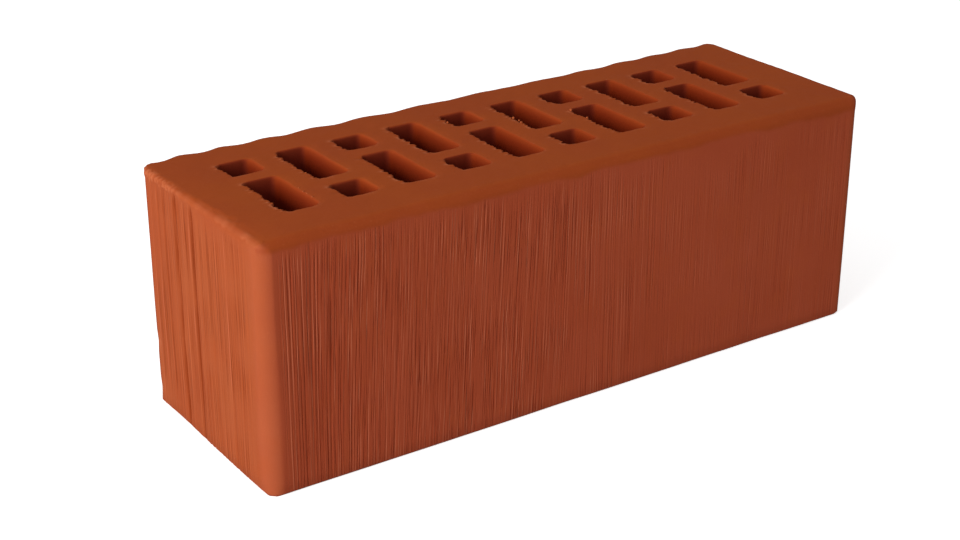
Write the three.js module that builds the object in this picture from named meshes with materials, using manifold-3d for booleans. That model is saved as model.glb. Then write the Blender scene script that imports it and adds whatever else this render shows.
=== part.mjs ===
// A perforated facing brick of fired clay, one solid piece.
// The clay leaves a die as a column with cores in it, a wire cuts it across to
// height, and the brick then lies on that cut bed with its holes upright.
// Millimetres, +Z up. The origin is the centre of the bed it lies on: +X runs
// along the length, +Y across to the rippled back face.
import * as THREE from 'three';
import { mergeVertices } from 'three/addons/utils/BufferGeometryUtils.js';
import Module from 'manifold-3d';

// The body of the brick.
const LENGTH = 250;
const WIDTH = 85;
const HEIGHT = 88;
const CORNER_RADIUS = 4;

// Edges. The wire goes in over the front face and rolls its top edge round.
const FRONT_LIP_RADIUS = 3.5;
const TOP_ARRIS_RADIUS = 1.4;
const BOTTOM_ARRIS_RADIUS = 0.8;
const LIP_STEPS = 5;
const CORNER_STEPS = 7;

// The back face: upright ripples, deepest at the left end and closer together
// near both ends, on a face that is slightly hollow along its length.
const RIPPLE_PITCH = 19;
const RIPPLE_DEPTH_LEFT = 2.2;
const RIPPLE_DEPTH_RIGHT = 1.1;
const RIPPLE_BUNCHING = 0.3;
const RIPPLE_STEPS = 9;
const BACK_HOLLOW = 1.2;

// The holes: columns across the width, each with one slot and one small hole,
// which change places from one column to the next.
const END_WALL = 20;
const FRONT_WALL = 19;
const BACK_WALL = 16.5;
const HOLE_WIDTH = 12.5;
const SMALL_HOLE_LENGTH = 12.5;
const ROW_WEB = 7;
const COLUMN_WEB_LEAST = 9;
const HOLE_CORNER_RADIUS = 2.5;
const CUTTER_OVERRUN = 5;

const CLAY = { color: 0x9a4a2c, roughness: 0.9, metalness: 0 };

// How far the ripples and the hollow draw the back face in, at a distance from
// the left end.
function rippleInset(along) {
  const share = along / LENGTH;
  const bunching = (RIPPLE_BUNCHING * LENGTH) / (2 * Math.PI * RIPPLE_PITCH);
  const ripples = along / RIPPLE_PITCH + bunching * Math.sin(2 * Math.PI * share);
  const depth = THREE.MathUtils.lerp(RIPPLE_DEPTH_LEFT, RIPPLE_DEPTH_RIGHT, share);
  const ripple = (depth * (1 - Math.cos(2 * Math.PI * ripples))) / 2;
  const hollow = BACK_HOLLOW * Math.sin(Math.PI * share);
  return ripple + hollow;
}

// The back face from corner to corner, right to left, in even steps. Its
// furthest crest is at the full width.
function backFaceCurve() {
  const run = LENGTH - 2 * CORNER_RADIUS;
  const steps = Math.round((run / RIPPLE_PITCH) * RIPPLE_STEPS);
  const stations = [];
  for (let step = 0; step <= steps; step += 1) {
    stations.push(LENGTH - CORNER_RADIUS - (run * step) / steps);
  }
  const crest = Math.min(...stations.map(rippleInset));
  return stations.map((along) => {
    const inset = rippleInset(along) - crest;
    return new THREE.Vector2(along - LENGTH / 2, WIDTH / 2 - inset);
  });
}

// A quarter circle in plan, counterclockwise from the given angle.
function cornerArc(x, y, radius, startAngle, steps) {
  const arc = new THREE.EllipseCurve(x, y, radius, radius, startAngle, startAngle + Math.PI / 2);
  return arc.getPoints(steps);
}

// The brick seen from above, counterclockwise from the front left corner.
// The two back corners meet the rippled face where it starts and ends.
function bodyOutline() {
  const x = LENGTH / 2 - CORNER_RADIUS;
  const front = -WIDTH / 2 + CORNER_RADIUS;
  const backFace = backFaceCurve();
  const backRight = backFace.at(0).y - CORNER_RADIUS;
  const backLeft = backFace.at(-1).y - CORNER_RADIUS;
  return [
    ...cornerArc(-x, front, CORNER_RADIUS, Math.PI, CORNER_STEPS),
    ...cornerArc(x, front, CORNER_RADIUS, 1.5 * Math.PI, CORNER_STEPS),
    ...cornerArc(x, backRight, CORNER_RADIUS, 0, CORNER_STEPS),
    ...backFace.slice(1, -1),
    ...cornerArc(-x, backLeft, CORNER_RADIUS, Math.PI / 2, CORNER_STEPS),
  ];
}

// The outward direction at each point of a closed outline.
function outwardDirections(outline) {
  return outline.map((point, index) => {
    const before = outline[(index + outline.length - 1) % outline.length];
    const after = outline[(index + 1) % outline.length];
    const along = after.clone().sub(before).normalize();
    return new THREE.Vector2(along.y, -along.x);
  });
}

// The top edge is round at the front and tighter on the other three sides.
function topEdgeRadius(direction) {
  const facingFront = Math.max(0, -direction.y) ** 2;
  return THREE.MathUtils.lerp(TOP_ARRIS_RADIUS, FRONT_LIP_RADIUS, facingFront);
}

// One ring of the body: the outline drawn in and raised along a rounded edge.
// A turn of 0 is at the upright face, a quarter turn is at the flat bed.
function edgeRing(outline, directions, turn, radiusAt, bedHeight, inward) {
  return outline.map((point, index) => {
    const radius = radiusAt(directions[index]);
    const draw = radius * (1 - Math.cos(turn));
    const rise = radius * (1 - Math.sin(turn));
    const place = point.clone().addScaledVector(directions[index], -draw);
    return new THREE.Vector3(place.x, place.y, bedHeight + inward * rise);
  });
}

// All rings of the body, from the bottom bed to the top bed.
function bodyRings() {
  const outline = bodyOutline();
  const directions = outwardDirections(outline);
  const quarter = Math.PI / 2;
  const bottom = edgeRing(outline, directions, quarter, () => BOTTOM_ARRIS_RADIUS, 0, 1);
  const bottomSide = edgeRing(outline, directions, 0, () => BOTTOM_ARRIS_RADIUS, 0, 1);
  const rings = [bottom, bottomSide];
  for (let step = 0; step <= LIP_STEPS; step += 1) {
    const turn = (quarter * step) / LIP_STEPS;
    rings.push(edgeRing(outline, directions, turn, topEdgeRadius, HEIGHT, -1));
  }
  return rings;
}

// A closed skin over a stack of rings with equal numbers of points.
function loft(rings) {
  const count = rings[0].length;
  const positions = rings.flat().flatMap((point) => point.toArray());
  const index = [];
  for (let ring = 0; ring < rings.length - 1; ring += 1) {
    for (let point = 0; point < count; point += 1) {
      const low = ring * count + point;
      const lowNext = ring * count + ((point + 1) % count);
      index.push(low, lowNext, lowNext + count, low, lowNext + count, low + count);
    }
  }
  const flat = (ring) => ring.map((point) => new THREE.Vector2(point.x, point.y));
  const topStart = (rings.length - 1) * count;
  for (const [a, b, c] of THREE.ShapeUtils.triangulateShape(flat(rings[0]), [])) {
    index.push(a, c, b);
  }
  for (const [a, b, c] of THREE.ShapeUtils.triangulateShape(flat(rings.at(-1)), [])) {
    index.push(topStart + a, topStart + b, topStart + c);
  }
  const geometry = new THREE.BufferGeometry();
  geometry.setAttribute('position', new THREE.Float32BufferAttribute(positions, 3));
  geometry.setIndex(index);
  return geometry;
}

// A rectangle with rounded corners, from its near left corner.
function roundedRectangle(left, near, width, length, radius) {
  const right = left + width;
  const far = near + length;
  const shape = new THREE.Shape();
  shape.moveTo(left + radius, near);
  shape.lineTo(right - radius, near);
  shape.absarc(right - radius, near + radius, radius, -Math.PI / 2, 0);
  shape.lineTo(right, far - radius);
  shape.absarc(right - radius, far - radius, radius, 0, Math.PI / 2);
  shape.lineTo(left + radius, far);
  shape.absarc(left + radius, far - radius, radius, Math.PI / 2, Math.PI);
  shape.lineTo(left, near + radius);
  shape.absarc(left + radius, near + radius, radius, Math.PI, 1.5 * Math.PI);
  return shape;
}

// The plan of every hole. The columns fill the length between the end walls.
function holeOutlines() {
  const room = LENGTH - 2 * END_WALL;
  const columns = Math.floor((room + COLUMN_WEB_LEAST) / (HOLE_WIDTH + COLUMN_WEB_LEAST));
  const pitch = columns > 1 ? (room - HOLE_WIDTH) / (columns - 1) : 0;
  const patternLength = (columns - 1) * pitch + HOLE_WIDTH;
  const near = -WIDTH / 2 + FRONT_WALL;
  const far = WIDTH / 2 - BACK_WALL;
  const slotLength = far - near - ROW_WEB - SMALL_HOLE_LENGTH;
  const outlines = [];
  for (let column = 0; column < columns; column += 1) {
    const left = -patternLength / 2 + column * pitch;
    const nearLength = column % 2 === 0 ? slotLength : SMALL_HOLE_LENGTH;
    const farLength = column % 2 === 0 ? SMALL_HOLE_LENGTH : slotLength;
    outlines.push(roundedRectangle(left, near, HOLE_WIDTH, nearLength, HOLE_CORNER_RADIUS));
    outlines.push(
      roundedRectangle(left, far - farLength, HOLE_WIDTH, farLength, HOLE_CORNER_RADIUS),
    );
  }
  return outlines;
}

// One hole as a solid that runs past both beds.
function holeCutter(outline) {
  const geometry = new THREE.ExtrudeGeometry(outline, {
    depth: HEIGHT + 2 * CUTTER_OVERRUN,
    bevelEnabled: false,
    curveSegments: 4,
  });
  return geometry.translate(0, 0, -CUTTER_OVERRUN);
}

const wasm = await Module();
wasm.setup();

function toSolid(geometry) {
  geometry.deleteAttribute('normal');
  geometry.deleteAttribute('uv');
  const merged = mergeVertices(geometry);
  const vertProperties = new Float32Array(merged.attributes.position.array);
  const triVerts = new Uint32Array(merged.index.array);
  return new wasm.Manifold(new wasm.Mesh({ numProp: 3, vertProperties, triVerts }));
}

function toGeometry(solid) {
  const mesh = solid.getMesh();
  const geometry = new THREE.BufferGeometry();
  geometry.setAttribute('position', new THREE.BufferAttribute(mesh.vertProperties, mesh.numProp));
  geometry.setIndex(new THREE.BufferAttribute(mesh.triVerts, 1));
  geometry.computeVertexNormals();
  return geometry;
}

function buildBrick() {
  let solid = toSolid(loft(bodyRings()));
  for (const outline of holeOutlines()) {
    solid = solid.subtract(toSolid(holeCutter(outline)));
  }
  const material = new THREE.MeshStandardMaterial({ ...CLAY, flatShading: true });
  const brick = new THREE.Mesh(toGeometry(solid), material);
  brick.name = 'brick';
  return brick;
}

const group = new THREE.Group();
group.add(buildBrick());

export default group;
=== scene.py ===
import math

import bmesh
import bpy
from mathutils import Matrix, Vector, noise
from mathutils.kdtree import KDTree


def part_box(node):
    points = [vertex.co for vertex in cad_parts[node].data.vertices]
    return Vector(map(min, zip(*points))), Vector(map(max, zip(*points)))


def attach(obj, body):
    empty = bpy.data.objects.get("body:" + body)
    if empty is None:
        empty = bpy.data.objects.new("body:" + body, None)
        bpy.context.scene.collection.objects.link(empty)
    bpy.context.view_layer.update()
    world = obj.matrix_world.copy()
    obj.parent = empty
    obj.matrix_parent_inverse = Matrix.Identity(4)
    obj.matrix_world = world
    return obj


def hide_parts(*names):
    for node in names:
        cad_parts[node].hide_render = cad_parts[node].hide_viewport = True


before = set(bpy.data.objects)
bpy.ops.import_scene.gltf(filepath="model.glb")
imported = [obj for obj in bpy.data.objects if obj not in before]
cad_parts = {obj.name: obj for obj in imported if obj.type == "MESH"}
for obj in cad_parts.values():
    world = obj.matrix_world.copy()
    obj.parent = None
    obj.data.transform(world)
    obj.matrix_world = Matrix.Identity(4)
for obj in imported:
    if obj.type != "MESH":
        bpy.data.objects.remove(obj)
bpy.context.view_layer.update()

# ---------------------------------------------------------------------------
# The viewpoint. A camera stands off the front left corner and looks down on
# the holed bed, along the front face.
camera_place = (-0.3453, -0.4868, 0.2980)
camera_turn = math.radians(-34.07)
camera_drop = math.radians(23.91)
camera_lens = 67.3
camera_tilt = (math.radians(90) - camera_drop, 0, camera_turn)
bpy.ops.object.camera_add(location=camera_place, rotation=camera_tilt)
camera = bpy.context.object
camera.name = "view"
camera.data.lens = camera_lens
bpy.context.scene.camera = camera

# ---------------------------------------------------------------------------
# The brick. One body of red clay, pushed through a die as a column with cores
# in it, combed on its four faces, cut across by a wire into this height, dried
# and fired.
low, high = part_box("brick")
length, width, height = high - low
front, back = -width / 2, width / 2
left, right = -length / 2, length / 2
end_wall = 0.020
hole_width = 0.0125
columns = 10
hole_margin = 0.012
mouth_depth = 0.012
rim_wear = 0.0005

# Its mesh starts as a copy of the solid, and is cut finely enough to carry the
# marks of the comb, the wire and the die.
brick = bpy.data.objects.new("fired_brick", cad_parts["brick"].data.copy())
bpy.context.scene.collection.objects.link(brick)
bpy.ops.object.select_all(action="DESELECT")
brick.select_set(True)
bpy.context.view_layer.objects.active = brick
bpy.ops.object.mode_set(mode="EDIT")
bpy.ops.mesh.select_all(action="SELECT")
bpy.ops.mesh.remove_doubles(threshold=1e-5)
bpy.ops.mesh.dissolve_limited(angle_limit=math.radians(0.5))


def pick(kind, wanted):
    """Selects the brick's faces or edges that the test wants."""
    bpy.ops.mesh.select_mode(type="FACE" if kind == "faces" else "EDGE")
    bpy.ops.mesh.select_all(action="DESELECT")
    mesh = bmesh.from_edit_mesh(brick.data)
    for element in getattr(mesh, kind):
        if wanted(element):
            element.select_set(True)
    mesh.select_flush_mode()
    bmesh.update_edit_mesh(brick.data)


def middle(edge):
    return (edge.verts[0].co + edge.verts[1].co) / 2


def run(edge):
    """How far an edge runs along X, Y and Z."""
    return Vector(map(abs, edge.verts[1].co - edge.verts[0].co))


def among_holes(point):
    """Whether a point lies over the part of the bed that the holes take up."""
    return abs(point.x) < right - hole_margin and abs(point.y) < back - hole_margin


def is_rim(edge):
    if not among_holes(middle(edge)) or 1e-5 < middle(edge).z < height - 1e-5:
        return False
    steepest, *_, flattest = sorted(abs(face.normal.z) for face in edge.link_faces)
    return steepest < 0.5 and flattest > 0.9


def is_ripple(edge):
    return middle(edge).y > back - 0.006 and abs(middle(edge).x) < right - 0.003


def split(wanted, cuts):
    """Divides the chosen edges, and with them the faces between them."""
    pick("edges", wanted)
    bpy.ops.mesh.subdivide(number_cuts=cuts)


def slice_across(wanted, axis, places):
    """Cuts the chosen faces by upright or level planes, and nothing else."""
    pick("faces", wanted)
    bpy.ops.mesh.hide(unselected=True)
    normal = [0, 0, 0]
    normal[axis] = 1
    for place in places:
        bpy.ops.mesh.select_all(action="SELECT")
        bpy.ops.mesh.bisect(plane_co=[n * place for n in normal], plane_no=normal)
    bpy.ops.mesh.reveal(select=False)


def steps(start, end, step):
    """Even places between two ends, about a step apart."""
    count = max(1, round((end - start) / step))
    return [start + (end - start) * i / count for i in range(1, count)]


def is_upper_bed(face):
    return face.normal.z > 0.9 and face.calc_center_median().z > height - 0.001


def is_lower_bed(face):
    return face.normal.z < -0.9 and face.calc_center_median().z < 0.001


def is_mouth(face):
    """The top of a hole: its worn rim and the first of its walls."""
    centre = face.calc_center_median()
    return among_holes(centre) and centre.z > height - mouth_depth and face.normal.z < 0.9


def is_shaft(face):
    """The rest of a hole's walls."""
    centre = face.calc_center_median()
    return among_holes(centre) and abs(face.normal.z) < 0.5 and centre.z < height - mouth_depth


def is_outer_side(face):
    centre = face.calc_center_median()
    return not among_holes(centre) and abs(face.normal.z) < 0.4


# The rims of the holes are worn round. The long plain faces are divided, in two
# goes, into the narrow strips that the comb and the die draw down them.
pick("edges", is_rim)
bpy.ops.mesh.bevel(offset=rim_wear, segments=2, profile=0.5, affect="EDGES")
split(lambda e: middle(e).y < front + 0.004 and run(e).x > 0.2, 29)
split(lambda e: middle(e).y < front + 0.004 and run(e).x > 0.007, 26)
split(lambda e: abs(middle(e).x) > right - 0.002 and run(e).y > 0.05, 12)
split(lambda e: abs(middle(e).x) > right - 0.002 and run(e).y > 0.004, 11)
split(lambda e: is_ripple(e) and run(e).x > 0.0012, 1)

# The beds and the mouths of the holes are cut finely where the wire tears
# them, the shafts coarsely, and the outer faces into rows, closest together
# where the combing starts.
slice_across(lambda f: is_mouth(f) or is_shaft(f), 2, [height - mouth_depth])
column_pitch = (length - 2 * end_wall - hole_width) / (columns - 1)
end_reaches = (0.0020, 0.0026, 0.0034, 0.0044, 0.0056, 0.0070, 0.0088, 0.0110, 0.0132)
hole_lines = [left + reach for reach in end_reaches]
for column in range(columns):
    near_edge = left + end_wall + column * column_pitch
    far_edge = near_edge + hole_width
    hole_lines += [near_edge - reach for reach in (0.0047, 0.0034, 0.0023, 0.0014, 0.0008)]
    hole_lines += [far_edge + reach for reach in (0.0008, 0.0014, 0.0023, 0.0034)]
    hole_lines += steps(near_edge - 0.0005, far_edge + 0.0005, 0.0018)
hole_lines += steps(right - end_wall + 0.0034, right, 0.0016)
first_row, last_row = -0.0265, 0.0290
row_lines = steps(first_row, last_row, 0.00056)
row_lines += steps(front, first_row, 0.0014) + steps(last_row, back, 0.0014) + [first_row, last_row]
slice_across(lambda f: is_upper_bed(f) or is_mouth(f), 0, hole_lines)
slice_across(lambda f: is_upper_bed(f) or is_mouth(f), 1, row_lines)
mouth_depths = (0.0010, 0.0018, 0.0030, 0.0048, 0.0075)
slice_across(is_mouth, 2, [height - depth for depth in mouth_depths])
slice_across(is_shaft, 0, steps(left, right, 0.0025))
slice_across(is_shaft, 1, steps(front, back, 0.0025))
slice_across(is_shaft, 2, [height - depth for depth in (0.020, 0.035, 0.055)])
slice_across(is_lower_bed, 0, steps(left, right, 0.0028))
slice_across(is_lower_bed, 1, steps(front, back, 0.0028))
side_depths = [0.0017, 0.0021, 0.0028, 0.0036, 0.0044, 0.0053, 0.0063, 0.0075, 0.009, 0.011, 0.014]
side_depths += steps(0.014, height - 0.0008, 0.0046)
slice_across(is_outer_side, 2, [height - depth for depth in side_depths])
bpy.ops.object.mode_set(mode="OBJECT")


def ramp(value, start, end):
    """Rises smoothly from 0 at the start to 1 at the end, either way round."""
    share = min(1, max(0, (value - start) / (end - start)))
    return share * share * (3 - 2 * share)


# Each seed reads the noise at another place, this far on from the last.
seed_step = Vector((13.7, 5.1, 9.3))


def grain(point, across, along, seed):
    """A random value from about -1 to 1, drawn out up and down the brick."""
    place = Vector((point.x / across, point.y / across, point.z / along))
    return noise.noise(place + seed_step * seed) * 1.7


def cloud(point, size, seed):
    """A random value from about -1 to 1 that is alike in all directions."""
    return grain(point, size, size, seed)


# A point within this reach of an upright face counts as on it.
side_reach = 0.003


def on_front(point):
    return point.y < front + side_reach


def on_end(point):
    return abs(point.x) > right - side_reach


def on_left_end(point):
    return point.x < left + side_reach


# The body is not quite flat: it slumps a little as it dries.
guide = bpy.data.objects.new("slump_guide", None)
bpy.context.scene.collection.objects.link(guide)
guide.scale = (0.045, 0.045, 0.060)
bpy.context.view_layer.update()
slump = brick.modifiers.new("slump", "DISPLACE")
slump.texture = bpy.data.textures.new("slump", type="CLOUDS")
slump.texture.noise_scale = 1.0
slump.texture.noise_depth = 1
slump.texture_coords = "OBJECT"
slump.texture_coords_object = guide
slump.strength = 0.0006
slump.mid_level = 0.5
bpy.ops.object.modifier_apply(modifier="slump")
bpy.data.objects.remove(guide)

# Its underside lies flat, and the front left corner is rubbed rounder than
# the others.
rubbed_radius = 0.0058
corner = Vector((left + rubbed_radius, front + rubbed_radius, 0))
for vertex in brick.data.vertices:
    vertex.co.z = max(0, vertex.co.z)
    reach = Vector((vertex.co.x, vertex.co.y, 0)) - corner
    if reach.x < 0 and reach.y < 0 and not among_holes(vertex.co) and reach.length > rubbed_radius:
        vertex.co -= reach.normalized() * (reach.length - rubbed_radius)

# The bed rolls down a little towards the left end, where the wire left it,
# and its edge there is rounder than the rest, most of all at the front.
roll_reach, roll_foot = 0.014, 0.012
for vertex in brick.data.vertices:
    point = vertex.co
    inward = point.x - left
    if among_holes(point) or inward > roll_reach or point.z < height - roll_foot:
        continue
    along = Vector((0, point.y, 0))
    roll = (1 - inward / roll_reach) ** 2 * ramp(height - point.z, roll_foot, 0.0)
    point.z -= roll * (0.00055 + 0.00025 * cloud(along, 0.020, 21))
    radius = 0.0013 + 0.0021 * ramp(point.y, 0.030, -0.030) + 0.0004 * cloud(along, 0.006, 22)
    centre = Vector((left + radius, point.y, height - 0.0006 - radius))
    reach = point - centre
    if reach.x < 0 and reach.z > 0 and reach.length > radius:
        vertex.co = centre + reach * (radius / reach.length)

# The die's ripples come out softer on the back face than they were cut, and
# softest right of its middle.
ripple_pitch = 0.019
left_ripple, right_ripple = 0.0022, 0.0011
bunching = 0.3 * length / (math.tau * ripple_pitch)
softest_place, soft_reach = 0.028, 0.028
for vertex in brick.data.vertices:
    point = vertex.co
    share = (point.x - left) / length
    waves = share * length / ripple_pitch + bunching * math.sin(math.tau * share)
    ripple_depth = left_ripple - (left_ripple - right_ripple) * share
    inset = ripple_depth * (1 - math.cos(math.tau * waves)) / 2
    softness = 0.18 + 0.40 * math.exp(-(((point.x - softest_place) / soft_reach) ** 2))
    softness += 0.15 * cloud(Vector((point.x, 0, 0)), 0.014, 23)
    if not among_holes(point):
        point.y += softness * inset * ramp(point.y, back - 0.012, back - 0.003)


front_skin, left_skin, plain_skin = 0.0031, 0.0021, 0.0022


def skin_depth(point):
    """How far down an upright face the smooth skin reaches that the wire
    rolled over the top edge."""
    along = Vector((point.x, point.y, 0))
    wander = 0.0007 * cloud(along, 0.014, 1) + 0.0003 * cloud(along, 0.004, 2)
    if on_front(point):
        wider = 0.0012 * ramp(point.x, 0.085, right) + 0.0008 * ramp(point.x, -0.106, left)
        return front_skin + wander + wider
    if on_left_end(point):
        return left_skin + 1.3 * wander
    return plain_skin + wander


def below_skin(point, normal):
    """How far a point lies below the skin, on an upright face."""
    if among_holes(point) or abs(normal.z) > 0.75:
        return 0
    skin = skin_depth(point)
    return ramp(height - point.z, skin - 0.0008, skin + 0.0012)


def bite_of(point):
    """How hard the comb bites from place to place. It starts softly under the
    skin, bites hardest at the left of the front and the back of the ends,
    comes away in patches, and slips off at the upright corners."""
    skin = skin_depth(point)
    bite = 0.40 + 0.60 * ramp(cloud(point, 0.016, 4), -0.6, 0.5)
    full_depth = skin + 0.009 + 0.005 * cloud(point, 0.006, 3)
    bite *= 0.45 + 0.55 * ramp(height - point.z, skin, full_depth)
    if on_front(point):
        bite *= 1 - 0.66 * ramp(point.x, -0.045, 0.050)
        bite += 0.30 * ramp(point.x, -0.070, -0.100) * ramp(height - point.z, skin, skin + 0.006)
        bite *= ramp(point.x, left + 0.0050, left + 0.0105)
    elif on_end(point):
        bite *= 0.72 + 0.28 * ramp(point.y, front + 0.010, front + 0.045)
        bite *= ramp(point.y, front + 0.0030, front + 0.0120)
    return bite


# Stones caught in the comb cut longer and deeper lines. Each has its place
# along its face at mid height, its reach to either side, its depth, and the
# heights of its foot and its head.
front_scores = [
    (-0.1150, 0.00036, 0.00020, 0.020, 0.074),
    (-0.1106, 0.00032, 0.00014, 0.004, 0.060),
    (-0.1080, 0.00040, 0.00034, 0.000, 0.086),
    (-0.1064, 0.00034, 0.00018, 0.008, 0.082),
    (-0.1014, 0.00040, 0.00030, 0.000, 0.084),
    (-0.1001, 0.00032, 0.00016, 0.018, 0.070),
    (-0.0941, 0.00030, 0.00014, 0.052, 0.072),
    (-0.0764, 0.00036, 0.00024, 0.004, 0.072),
    (-0.0368, 0.00032, 0.00014, 0.020, 0.066),
    (-0.0153, 0.00032, 0.00012, 0.044, 0.074),
    (-0.0040, 0.00032, 0.00014, 0.050, 0.083),
    (0.0262, 0.00032, 0.00012, 0.030, 0.080),
]
end_scores = [
    (0.0160, 0.00074, 0.00090, 0.001, 0.086),
    (0.0042, 0.00078, 0.00090, 0.000, 0.086),
    (0.0248, 0.00050, 0.00026, 0.010, 0.084),
    (0.0292, 0.00045, 0.00022, 0.020, 0.085),
    (0.0100, 0.00050, 0.00020, 0.030, 0.084),
    (-0.0015, 0.00045, 0.00016, 0.034, 0.082),
    (-0.0085, 0.00065, 0.00022, 0.000, 0.068),
    (-0.0142, 0.00060, 0.00016, 0.012, 0.080),
    (-0.0205, 0.00070, 0.00020, 0.000, 0.058),
    (-0.0268, 0.00060, 0.00016, 0.020, 0.076),
]


def scored(along, z, scores, seed):
    """The depth of the scores at a place."""
    depth = 0
    for place, reach, cut, foot, head in scores:
        if abs(along - place) > 0.004:
            continue
        drift = 0.0004 * noise.noise(Vector((place * 900, z / 0.030, seed)))
        drift += 0.35 * reach * noise.noise(Vector((place * 700, z / 0.006, seed)))
        share = math.exp(-(((along - place - drift) / reach) ** 2))
        share *= ramp(z, foot - 0.004, foot + 0.004) * ramp(z, head + 0.002, head - 0.004)
        share *= 0.75 + 0.5 * noise.noise(Vector((place * 500, z / 0.008, seed + 3)))
        depth += cut * share
    return depth


def teeth(along, point, pitch, half_width, stroke, seed):
    """The lines that the comb's teeth draw, about a pitch apart. Each starts
    at its own height, wanders a little, and lifts off now and then. Beside
    its groove, towards the right, the clay is pushed up into a low ridge."""
    deepest, raised = 0, 0
    skin = skin_depth(point)
    nearest = math.floor(along / pitch)
    for number in (nearest - 1, nearest, nearest + 1):
        place = number + 0.5 + 0.55 * noise.noise(Vector((number * 3.7, seed * 7.7, 0.5)))
        place += 0.45 * noise.noise(Vector((number * 2.3, point.z / (2 * stroke), seed)))
        offset = (along - place * pitch) / half_width
        if not -1 < offset < 2.6:
            continue
        press = noise.noise(Vector((number * 5.3, point.z / stroke, seed + 9)))
        head = skin + 0.0045 * abs(noise.noise(Vector((number * 7.1, seed, 0.3))))
        share = ramp(press, -0.18, 0.25) * ramp(height - point.z, head - 0.0005, head + 0.0025)
        deepest = max(deepest, share * (1 - abs(offset)))
        raised = max(raised, share * (1 - abs(offset - 1.6)))
    return deepest - 0.5 * raised if deepest <= 0 else deepest


def comb_place(point):
    """How far along its face a point lies, as the comb's lines run. Left of
    the middle of the front they lean a little to the right."""
    if on_end(point) and not on_front(point):
        return point.y
    lean = 0.052 * ramp(point.x, -0.120, -0.090) * ramp(point.x, 0.015, -0.030)
    return point.x - lean * (point.z - height / 2)


def comb_depth(point, weight):
    """How deep the comb cuts at a point: the lines of its teeth and the scores."""
    bite = weight * bite_of(point)
    along = comb_place(point)
    if on_front(point):
        stroke = 0.033 + 0.021 * ramp(point.x, -0.080, -0.105)
        lines = 0.00010 * teeth(along, point, pitch=0.00115, half_width=0.00028, stroke=stroke, seed=5)
        return bite * lines + weight * scored(along, point.z, front_scores, 0.5)
    if on_end(point):
        lines = 0.00018 * teeth(along, point, pitch=0.00235, half_width=0.00055, stroke=0.140, seed=7)
        lines += 0.00015 * teeth(along, point, pitch=0.00390, half_width=0.00065, stroke=0.180, seed=8)
        scores = scored(along, point.z, end_scores, 1.5) if point.x < 0 else 0
        return bite * lines + weight * scores
    return bite * 0.00018 * teeth(along, point, pitch=0.0031, half_width=0.0009, stroke=0.020, seed=9)


# The rim of each hole, with the way from the hole into the clay.
rim_points = []
for vertex in brick.data.vertices:
    level = vertex.normal.z
    if among_holes(vertex.co) and abs(vertex.co.z - height) < 0.0008 and 0.30 < level < 0.985:
        away = Vector((-vertex.normal.x, -vertex.normal.y, 0)).normalized()
        rim_points.append((vertex.co.copy(), away))
rim_tree = KDTree(len(rim_points))
for index, (place, away) in enumerate(rim_points):
    rim_tree.insert(place, index)
rim_tree.balance()


# The wire tears the left rims back, and drags the right ones over a little.
tear_reach, drag_reach = 0.00105, 0.00015


def rim_move(point):
    """Where the wire moves the clay at a hole's mouth. It tears the left rims
    as it leaves them, and drags the right and near ones over, soft and low."""
    rim_place, index, far = rim_tree.find(Vector((point.x, point.y, height)))
    away = rim_points[index][1]
    fall = math.exp(-((far / 0.0012) ** 2)) * ramp(height - point.z, 0.0065, 0.0)
    torn = max(0, -away.x) ** 2 + 0.3 * max(0, -away.y) ** 2
    soft = max(0, away.x) ** 2 + 0.4 * max(0, -away.y) ** 2
    along = Vector((rim_place.x, rim_place.y, 0))
    bite = ramp(cloud(along, 0.0013, 11), -0.3, 0.6) - 0.45 + 0.30 * cloud(along, 0.0007, 12)
    worn = ramp(far, 0.0020, 0.0) * ramp(height - point.z, 0.003, 0.0)
    move = away * (tear_reach * bite * fall * torn)
    move += away * (drag_reach * soft * fall * (1 + cloud(along, 0.006, 13)))
    move.z = -0.00012 * soft * worn - 0.00030 * torn * fall * max(0, cloud(along, 0.0012, 14))
    return move, fall * torn * ramp(bite, 0.0, 0.5)


lump_places = (-0.0175, -0.0325)
lump_reach = 0.0045


def burr(point):
    """The ragged burr that the wire leaves along the top of the left end. It
    hangs in drips at the back, thins out in the middle, and lies in two soft
    lumps at the front."""
    if not on_left_end(point) or among_holes(point):
        return 0
    depth = height - point.z
    along = Vector((0, point.y, 0))
    back_part = ramp(point.y, 0.006, 0.024)
    reach = 0.0018 + 0.0010 * back_part + (0.0004 + 0.0012 * back_part) * cloud(along, 0.0016, 15)
    band = ramp(depth, reach + 0.0006, reach) * ramp(depth, 0.0002, 0.0009)
    flecks = ramp(cloud(point, 0.0011, 16), -0.25, 0.35) * back_part
    lumps = sum(math.exp(-(((point.y - place) / lump_reach) ** 2)) for place in lump_places)
    lumps *= ramp(depth, 0.0028, 0.0016)
    return band * (0.15 + 0.25 * cloud(along, 0.0030, 19) + 1.1 * flecks + 0.6 * lumps)


# Two small chips on the back edge of the left end.
chips = [Vector((left, 0.0385, 0.0237)), Vector((left, 0.0395, 0.0054))]


def chipped(point):
    """How much of the face a chip has taken at a point."""
    near = min((point - chip).length for chip in chips)
    return ramp(near, 0.0042, 0.0008) * (0.6 + 0.4 * cloud(point, 0.0014, 40))


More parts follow.
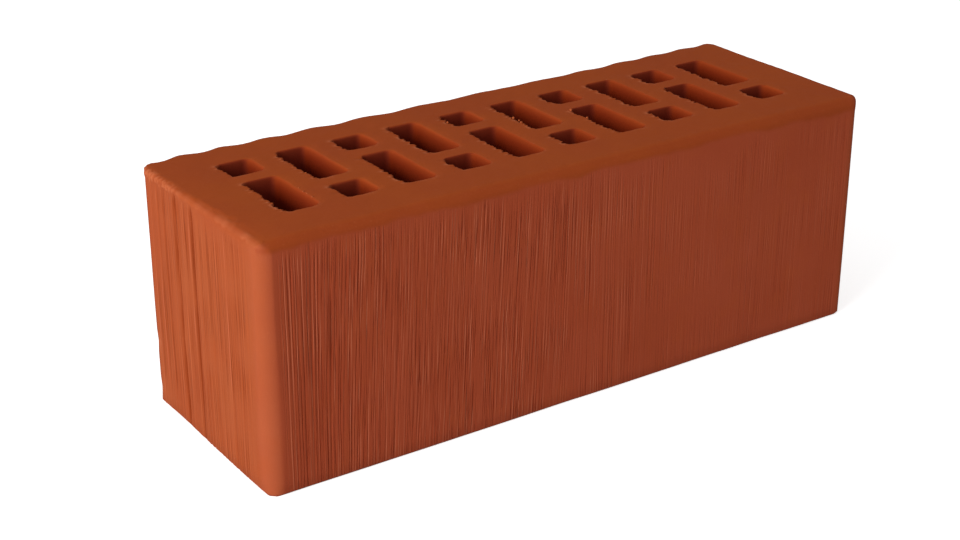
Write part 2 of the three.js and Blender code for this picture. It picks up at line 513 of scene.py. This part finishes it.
# Every point is moved by what the wire and the comb do there, and marked with
# how much of each it shows, for the clay's colour and for the painted shade and highlights in it.
names = "skin lip comb groove ridge torn inside wall end rubbed along".split()
marks = {name: [] for name in names}
burr_height, chip_depth, comb_sink = 0.00022, 0.00045, 0.00010
wall_drag, bed_drag = 0.00012, 0.00005
before = [(vertex.co.copy(), vertex.normal.copy()) for vertex in brick.data.vertices]
for vertex, (point, normal) in zip(brick.data.vertices, before):
    skin, lip, comb, groove, ridge, torn, inside, wall, end = 1, 0, 0, 0, 0, 0, 0, 0, 0
    if among_holes(point):
        # Painted shade: a hole's clay is painted darker from its rim down, its left and right walls
        # more slowly.
        depth = height - point.z
        wall = ramp(abs(normal.x), 0.4, 0.9)
        start = 0.80 - 0.32 * ramp(abs(normal.x), 0.3, 0.8)
        inside = start * ramp(depth, -0.0003, 0.0003)
        inside += 0.6 * (1 - start) * ramp(depth, 0.0003, 0.0035)
        inside += 0.4 * (1 - start) * ramp(depth, 0.003, 0.009)
        inside *= ramp(normal.z, 0.995, 0.85)
        if point.z > height - 0.007:
            move, torn = rim_move(point)
            vertex.co += move
        elif abs(normal.z) < 0.5:
            vertex.co -= normal * wall_drag * grain(point, 0.0016, 0.05, 17)
    else:
        weight = below_skin(point, normal)
        cut = comb_depth(point, weight) if weight else 0
        chip = chipped(point)
        proud = max(0, burr(point))
        vertex.co += normal * (burr_height * proud - cut - comb_sink * weight - chip_depth * chip)
        # The groove and ridge shares carry painted shade in the comb's grooves and scores, and painted
        # highlights on the ridges beside them.
        groove = ramp(cut, 0.00002, 0.00030 if on_front(point) else 0.00048)
        ridge = ramp(-cut, 0.00001, 0.00012)
        skin = 1 - weight
        # The lip's share is for painted shade: its clay is darkened to hold back the extra lamp light
        # its rounded edge catches.
        lip = skin * ramp(-normal.y, 0.15, 0.60)
        comb = weight * bite_of(point) if weight else 0
        torn = min(1, 0.6 * proud + chip)
        end = ramp(abs(point.x), right - 0.0055, right - 0.0005) * ramp(abs(normal.z), 0.99, 0.75)
    rubbed = ramp(math.hypot(point.x - corner.x, point.y - corner.y), 0.0050, 0.0057)
    rubbed *= ramp(point.x, left + 0.0060, left + 0.0035)
    rubbed *= ramp(point.y, front + 0.0085, front + 0.0045)
    rubbed *= 0.60 + 0.40 * ramp(point.z, 0.070, 0.010)
    if normal.z > 0.9 and point.z > height - 0.002:
        slanted = Vector((point.x + point.y * 0.7, (point.y - point.x * 0.7) * 3, 0))
        vertex.co.z += bed_drag * grain(slanted, 0.010, 1, 18)
    shares = (skin, lip, comb, groove, ridge, torn, inside, wall, end, rubbed, comb_place(point))
    for name, share in zip(marks, shares):
        marks[name].append(share)

# A few crumbs of the torn clay stay stuck to the rims. Each has its place on
# the bed and its size.
crumb_places = [
    (0.0270, 0.0052, 0.00050), (0.0268, -0.0048, 0.00055), (0.0049, 0.0098, 0.00045),
    (0.0050, 0.0066, 0.00035), (0.0048, 0.0047, 0.00038), (-0.0170, 0.0192, 0.00045),
    (-0.0169, 0.0212, 0.00030), (-0.0917, -0.0075, 0.00024), (-0.0920, -0.0112, 0.00028),
    (-0.0918, -0.0132, 0.00022), (-0.0919, -0.0168, 0.00026), (-0.0832, 0.0030, 0.00030),
    (-0.0390, 0.0210, 0.00030),
]
crumb_marks = {"skin": 1, "torn": 0.6}
for number, (x, y, size) in enumerate(crumb_places):
    place = (x, y, height - 0.0001)
    bpy.ops.mesh.primitive_ico_sphere_add(subdivisions=2, radius=size, location=place)
    crumb = bpy.context.object
    bpy.ops.object.transform_apply(location=True, rotation=True, scale=True)
    for vertex in crumb.data.vertices:
        centre = Vector((x, y, height))
        vertex.co += (vertex.co - centre) * 0.7 * cloud(vertex.co, size * 1.1, 20 + number)
    crumb.name = "crumb"
    for name in names:
        marks[name] += [crumb_marks.get(name, 0)] * len(crumb.data.vertices)
    brick.select_set(True)
    bpy.context.view_layer.objects.active = brick
    bpy.ops.object.join()

for name, shares in marks.items():
    layer = brick.data.attributes.new(name, "FLOAT", "POINT")
    layer.data.foreach_set("value", shares)
bpy.ops.object.select_all(action="DESELECT")
brick.select_set(True)
bpy.context.view_layer.objects.active = brick
bpy.ops.object.shade_smooth_by_angle(angle=math.radians(50))

# Fired clay: matt red-brown, more orange where the wire left its skin, wine red
# in the combed faces, paler where it is torn or rubbed. Painted shade darkens the lip at the front,
# the comb's grooves and lines, and most of all the holes; painted highlights lighten the ridges and
# pale lines.
clay = bpy.data.materials.new("fired_clay")
clay.use_nodes = True
nodes = clay.node_tree.nodes
links = clay.node_tree.links
shader = nodes["Principled BSDF"]
coordinates = nodes.new("ShaderNodeTexCoord").outputs["Object"]


def pattern(scale, detail, roughness, offset):
    """A noise of so many repeats to the metre along X, Y and Z."""
    mapping = nodes.new("ShaderNodeMapping")
    mapping.inputs["Scale"].default_value = scale
    mapping.inputs["Location"].default_value = (offset, offset * 0.7, offset * 1.3)
    links.new(coordinates, mapping.inputs["Vector"])
    texture = nodes.new("ShaderNodeTexNoise")
    texture.inputs["Scale"].default_value = 1.0
    texture.inputs["Detail"].default_value = detail
    texture.inputs["Roughness"].default_value = roughness
    links.new(mapping.outputs["Vector"], texture.inputs["Vector"])
    return texture.outputs["Fac"]


def stretch(value, low_in, high_in, low_out, high_out):
    """Maps a range of values onto another."""
    node = nodes.new("ShaderNodeMapRange")
    node.inputs["From Min"].default_value = low_in
    node.inputs["From Max"].default_value = high_in
    node.inputs["To Min"].default_value = low_out
    node.inputs["To Max"].default_value = high_out
    links.new(value, node.inputs["Value"])
    return node.outputs["Result"]


def maths(operation, first, second):
    """Works out a new value from two others."""
    node = nodes.new("ShaderNodeMath")
    node.operation = operation
    for socket, value in zip(node.inputs, (first, second)):
        if isinstance(value, (int, float)):
            socket.default_value = value
        else:
            links.new(value, socket)
    return node.outputs["Value"]


def blend(factor, first, second, kind="MIX"):
    """Mixes two colours by a factor, or multiplies them where the kind says so."""
    node = nodes.new("ShaderNodeMix")
    node.data_type = "RGBA"
    node.blend_type = kind
    colours = [socket for socket in node.inputs if socket.type == "RGBA"]
    for socket, value in zip([node.inputs["Factor"], *colours], (factor, first, second)):
        if isinstance(value, (int, float)):
            socket.default_value = value
        elif isinstance(value, tuple):
            socket.default_value = (*value, 1)
        else:
            links.new(value, socket)
    return next(socket for socket in node.outputs if socket.type == "RGBA")


def attribute(name):
    """One of the marks on the brick's points."""
    node = nodes.new("ShaderNodeAttribute")
    node.attribute_name = name
    return node.outputs["Fac"]


skin_mask = attribute("skin")
painted_lip_shade_mask = attribute("lip")
comb_mask = attribute("comb")
painted_groove_shade_mask = attribute("groove")
painted_ridge_highlight_mask = attribute("ridge")
torn_mask = attribute("torn")
painted_hole_shade_mask = attribute("inside")
wall_mask = attribute("wall")
end_mask = attribute("end")
rubbed_mask = attribute("rubbed")
clouds = pattern((28, 28, 28), detail=3, roughness=0.55, offset=1.0)
blotches = pattern((110, 110, 110), detail=3, roughness=0.6, offset=2.0)
streaks = pattern((150, 150, 7), detail=2, roughness=0.6, offset=12.0)
speckle = pattern((1300, 1300, 1300), detail=2, roughness=0.7, offset=3.0)
combed_place = attribute("along")


def by_face(front_share, end_share):
    """One share on the front and the back, and another on the ends."""
    return stretch(end_mask, 0.0, 1.0, front_share, end_share)


def hairlines(count, strokes, offset, thickness):
    """Thin upright lines, so many to the metre, that come and go in strokes."""
    drift = maths("SUBTRACT", pattern((90, 90, 40), detail=1, roughness=0.5, offset=offset), 0.5)
    place = maths("ADD", combed_place, maths("MULTIPLY", drift, 0.0010))
    cells = nodes.new("ShaderNodeTexVoronoi")
    cells.voronoi_dimensions = "1D"
    cells.feature = "DISTANCE_TO_EDGE"
    cells.inputs["Scale"].default_value = count
    links.new(maths("ADD", place, offset), cells.inputs["W"])
    line = stretch(cells.outputs["Distance"], 0.0, thickness, 1.0, 0.0)
    strength = pattern(strokes, detail=1, roughness=0.6, offset=offset + 1.0)
    stroke = stretch(strength, 0.45, 0.60, 0.0, 1.0)
    bite = stretch(comb_mask, 0.10, 0.75, 0.0, 1.0)
    return maths("MULTIPLY", line, maths("MULTIPLY", bite, stroke))


long_hairs = hairlines(count=760, strokes=(900, 900, 9), offset=4.0, thickness=0.20)
short_hairs = hairlines(count=1000, strokes=(1100, 1100, 30), offset=6.0, thickness=0.18)
painted_highlight_hairs = hairlines(count=850, strokes=(900, 900, 13), offset=8.0, thickness=0.20)
hairs = maths("ADD", long_hairs, short_hairs)
coarse_hairs = hairlines(count=450, strokes=(400, 400, 6), offset=10.0, thickness=0.16)
end_hairs = maths("MULTIPLY", end_mask, coarse_hairs)
bands = pattern((420, 420, 4), detail=1, roughness=0.5, offset=14.0)

front_tone, end_tone = (0.328, 0.0580, 0.0225), (0.314, 0.0680, 0.0212)
skin_tone, rubbed_tone = (0.312, 0.0560, 0.0088), (0.350, 0.0790, 0.0310)
dull_tone, warm_tone = (0.275, 0.0410, 0.0115), (0.345, 0.0660, 0.0175)
painted_lip_shade = (0.925, 0.875, 1.0)
band_tone = (0.260, 0.0430, 0.0080)
painted_ridge_highlight_tone = (0.450, 0.1150, 0.0560)
grit_tone = (0.400, 0.0900, 0.030)
torn_tone = (0.500, 0.140, 0.058)

base = blend(end_mask, front_tone, end_tone)
base = blend(maths("MULTIPLY", rubbed_mask, 0.8), base, rubbed_tone)
base = blend(maths("MULTIPLY", skin_mask, by_face(1.0, 0.25)), base, skin_tone)
base = blend(stretch(clouds, 0.35, 0.65, 0.0, 0.35), base, dull_tone)
base = blend(stretch(blotches, 0.50, 0.75, 0.0, 0.25), base, warm_tone)
# Painted shade on the lip, against the lamp light its rounded edge catches.
base = blend(painted_lip_shade_mask, base, painted_lip_shade, "MULTIPLY")
streak_tone = blend(end_mask, (0.255, 0.0380, 0.0120), (0.265, 0.0460, 0.0090))
streak_share = maths("MULTIPLY", comb_mask, stretch(streaks, 0.40, 0.70, 0.0, 0.12))
base = blend(streak_share, base, streak_tone)
band_share = maths("MULTIPLY", end_mask, stretch(bands, 0.42, 0.60, 0.0, 0.42))
base = blend(maths("MULTIPLY", comb_mask, band_share), base, band_tone)
# Painted shade in the comb's grooves and scores, strongest on the ends.
painted_groove_shade_share = maths("MULTIPLY", painted_groove_shade_mask, by_face(0.34, 0.90))
painted_groove_shade_tone = blend(end_mask, (0.215, 0.0220, 0.0050), (0.185, 0.0250, 0.0036))
base = blend(painted_groove_shade_share, base, painted_groove_shade_tone)
# Painted highlight on the low ridges to the right of the grooves.
base = blend(maths("MULTIPLY", painted_ridge_highlight_mask, 0.55), base, painted_ridge_highlight_tone)
# The hairlines take the same painted shade as the grooves, on top of their bump.
painted_fine_shade_share = maths("MULTIPLY", hairs, by_face(0.77, 0.45))
painted_hair_shade_share = maths("ADD", painted_fine_shade_share, maths("MULTIPLY", end_hairs, 0.60))
base = blend(painted_hair_shade_share, base, painted_groove_shade_tone)
# Pale hairlines drawn only in colour: painted highlights along the comb's lines.
painted_hair_highlight_share = maths("MULTIPLY", painted_highlight_hairs, by_face(1.0, 0.6))
painted_hair_highlight_tone = blend(end_mask, (0.460, 0.1210, 0.0590), (0.450, 0.1130, 0.0400))
base = blend(painted_hair_highlight_share, base, painted_hair_highlight_tone)
base = blend(stretch(speckle, 0.58, 0.78, 0.0, 0.26), base, grit_tone)
# Painted shade down in the holes, one shade on the left and right walls and another on the far and
# near walls.
painted_hole_shade_tone = blend(wall_mask, (0.145, 0.0125, 0.0065), (0.185, 0.0115, 0.0014))
base = blend(maths("MULTIPLY", painted_hole_shade_mask, 0.94), base, painted_hole_shade_tone)
base = blend(maths("MULTIPLY", torn_mask, 0.55), base, torn_tone)
links.new(base, shader.inputs["Base Color"])
links.new(stretch(blotches, 0.3, 0.7, 0.85, 0.98), shader.inputs["Roughness"])
shader.inputs["Specular IOR Level"].default_value = 0.08

# The grit stands out and the hairlines are cut in, too finely for the mesh.
grit = pattern((1700, 1700, 1700), detail=2, roughness=0.6, offset=7.0)
relief = nodes.new("ShaderNodeBump")
relief.inputs["Strength"].default_value = 0.8
relief.inputs["Distance"].default_value = 0.0003
hair_cuts = maths("MULTIPLY", maths("ADD", hairs, end_hairs), by_face(1.1, 0.5))
links.new(maths("SUBTRACT", maths("MULTIPLY", grit, 0.15), hair_cuts), relief.inputs["Height"])
links.new(relief.outputs["Normal"], shader.inputs["Normal"])
brick.data.materials.clear()
brick.data.materials.append(clay)

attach(brick, "root")
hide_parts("brick")

# ---------------------------------------------------------------------------
# The floor and the light. The brick stands on white paper in a white room,
# lit softly all round and by one large lamp low on the left.
bpy.ops.mesh.primitive_plane_add(size=6)
floor = bpy.context.object
floor.name = "floor"
paper = bpy.data.materials.new("white_paper")
paper.use_nodes = True
paper_nodes = paper.node_tree.nodes
paper_links = paper.node_tree.links
paper_shader = paper_nodes["Principled BSDF"]
paper_shader.inputs["Base Color"].default_value = (0.75, 0.75, 0.75, 1)
paper_shader.inputs["Roughness"].default_value = 0.9
glow = paper_nodes.new("ShaderNodeEmission")
glow.inputs["Strength"].default_value = 0.62
both = paper_nodes.new("ShaderNodeAddShader")
seen_on_paper = paper_nodes.new("ShaderNodeLightPath").outputs["Is Camera Ray"]
either = paper_nodes.new("ShaderNodeMixShader")
paper_links.new(paper_shader.outputs["BSDF"], both.inputs[0])
paper_links.new(glow.outputs["Emission"], both.inputs[1])
paper_links.new(seen_on_paper, either.inputs["Fac"])
paper_links.new(paper_shader.outputs["BSDF"], either.inputs[1])
paper_links.new(both.outputs["Shader"], either.inputs[2])
paper_links.new(either.outputs["Shader"], paper_nodes["Material Output"].inputs["Surface"])
floor.data.materials.append(paper)

world = bpy.data.worlds.new("studio")
bpy.context.scene.world = world
world.use_nodes = True
room = world.node_tree.nodes
room["Background"].inputs["Color"].default_value = (1, 1, 1, 1)
room["Background"].inputs["Strength"].default_value = 0.55
backdrop = room.new("ShaderNodeBackground")
backdrop.inputs["Color"].default_value = (1, 1, 1, 1)
backdrop.inputs["Strength"].default_value = 1.0
choice = room.new("ShaderNodeMixShader")
seen_in_room = room.new("ShaderNodeLightPath").outputs["Is Camera Ray"]
room_links = world.node_tree.links
room_links.new(seen_in_room, choice.inputs["Fac"])
room_links.new(room["Background"].outputs["Background"], choice.inputs[1])
room_links.new(backdrop.outputs["Background"], choice.inputs[2])
room_links.new(choice.outputs["Shader"], room["World Output"].inputs["Surface"])

bpy.ops.object.light_add(type="AREA", location=(-1.25, -0.31, 0.47))
lamp = bpy.context.object
lamp.name = "key_light"
lamp.data.size = 0.7
lamp.data.energy = 18.0
lamp.visible_camera = False
lamp.rotation_euler = (Vector((0, 0, 0.04)) - lamp.location).to_track_quat("-Z", "Y").to_euler()

bpy.context.scene.view_settings.view_transform = "Standard"
